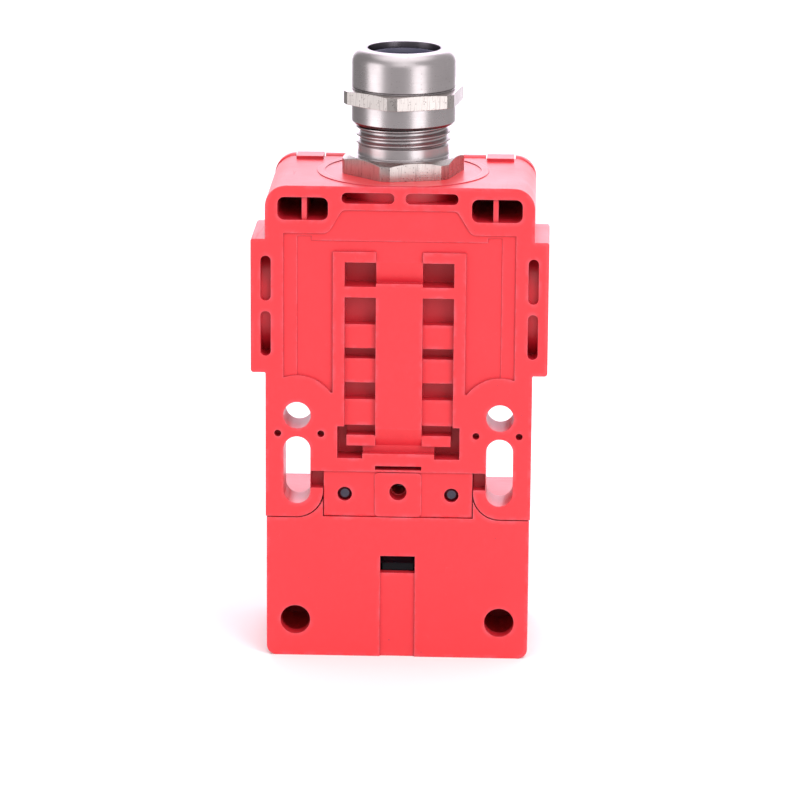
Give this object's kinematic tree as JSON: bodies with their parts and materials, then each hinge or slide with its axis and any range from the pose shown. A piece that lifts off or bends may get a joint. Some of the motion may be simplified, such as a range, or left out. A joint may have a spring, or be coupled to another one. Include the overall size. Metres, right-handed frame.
{
  "type": "tongue interlock switch",
  "caption": "Plastic safety interlock switch with a tongue-operated cam head, hinged lid, contact block, mounting ears and a metal cable gland.",
  "frame": {"origin": "middle of the footprint, on the end face of the head, on which the switch stands", "axes": "+X across the mounting face to the right in the picture, +Y from the mounting face to the lid, +Z from the head to the cable gland"},
  "size_m": [0.0582, 0.033, 0.1202],
  "materials": {
    "red_plastic": "moulded, satin",
    "black_rubber": "matt",
    "navy_rubber": "matt",
    "steel": "zinc plated",
    "dark_steel": "blackened",
    "black_plastic": "moulded, glossy",
    "natural_plastic": "moulded, satin",
    "block_plastic": "moulded, satin",
    "cover_plastic": "moulded, smoke grey",
    "contact_brass": "rolled strip",
    "nickel_plate": "nickel plated, turned"
  },
  "bodies": {
    "switch_body": {"rear_housing": "red_plastic", "lid_gasket": "black_rubber", "hinge_pins": "steel", "head_block": "red_plastic", "head_faceplate": "red_plastic", "faceplate_screws": "steel", "head_screws": "dark_steel", "cam_axle": "steel", "plunger_guide": "natural_plastic", "contact_block": "block_plastic", "contact_block_screws": "steel", "contact_cover": "cover_plastic", "fixed_contacts": "contact_brass", "terminal_clamps": "steel", "terminal_screws": "steel", "gland_body": "nickel_plate", "gland_ring_seal": "black_rubber", "gland_seal": "navy_rubber", "gland_claw": "natural_plastic"},
    "lid_assembly": {"lid": "red_plastic", "lid_screws": "steel"},
    "cam": {"cam_wheel": "black_plastic"},
    "plunger_slide": {"plunger": "natural_plastic", "contact_carrier": "natural_plastic", "contact_bridges": "contact_brass", "bridge_springs": "steel", "plunger_spring": "steel"},
    "gland_ring": {"gland_slip_ring": "natural_plastic"},
    "dome_nut": {"gland_nut": "nickel_plate"}
  },
  "joints": [
    {"name": "lid_hinge", "type": "hinge", "parent": "switch_body", "child": "lid_assembly", "pos_m": [0, 0.015, 0.09445], "axis": [1, 0, 0], "range_deg": [0, 110]},
    {"name": "cam_turn", "type": "hinge", "parent": "switch_body", "child": "cam", "pos_m": [0, -0.0025, 0.015], "axis": [-1, 0, 0], "range_deg": [0, 55]},
    {"name": "plunger_lift", "type": "slide", "parent": "switch_body", "child": "plunger_slide", "axis": [0, 0, 1], "range_m": [0, 0.003], "deforming": ["plunger_spring"]},
    {"name": "gland_ring_lift", "type": "slide", "parent": "switch_body", "child": "gland_ring", "axis": [0, 0, 1], "range_m": [0, 0.003]},
    {"name": "dome_nut_turn", "type": "hinge", "parent": "gland_ring", "child": "dome_nut", "pos_m": [0, 0, 0.11], "axis": [0, 0, 1], "range_deg": [0, 720]}
  ],
  "couplings": [
    {"joint": "plunger_lift", "follows": "cam_turn", "m_per_rad": 0.003125},
    {"joint": "gland_ring_lift", "follows": "dome_nut_turn", "m_per_rad": 0.0002387}
  ]
}
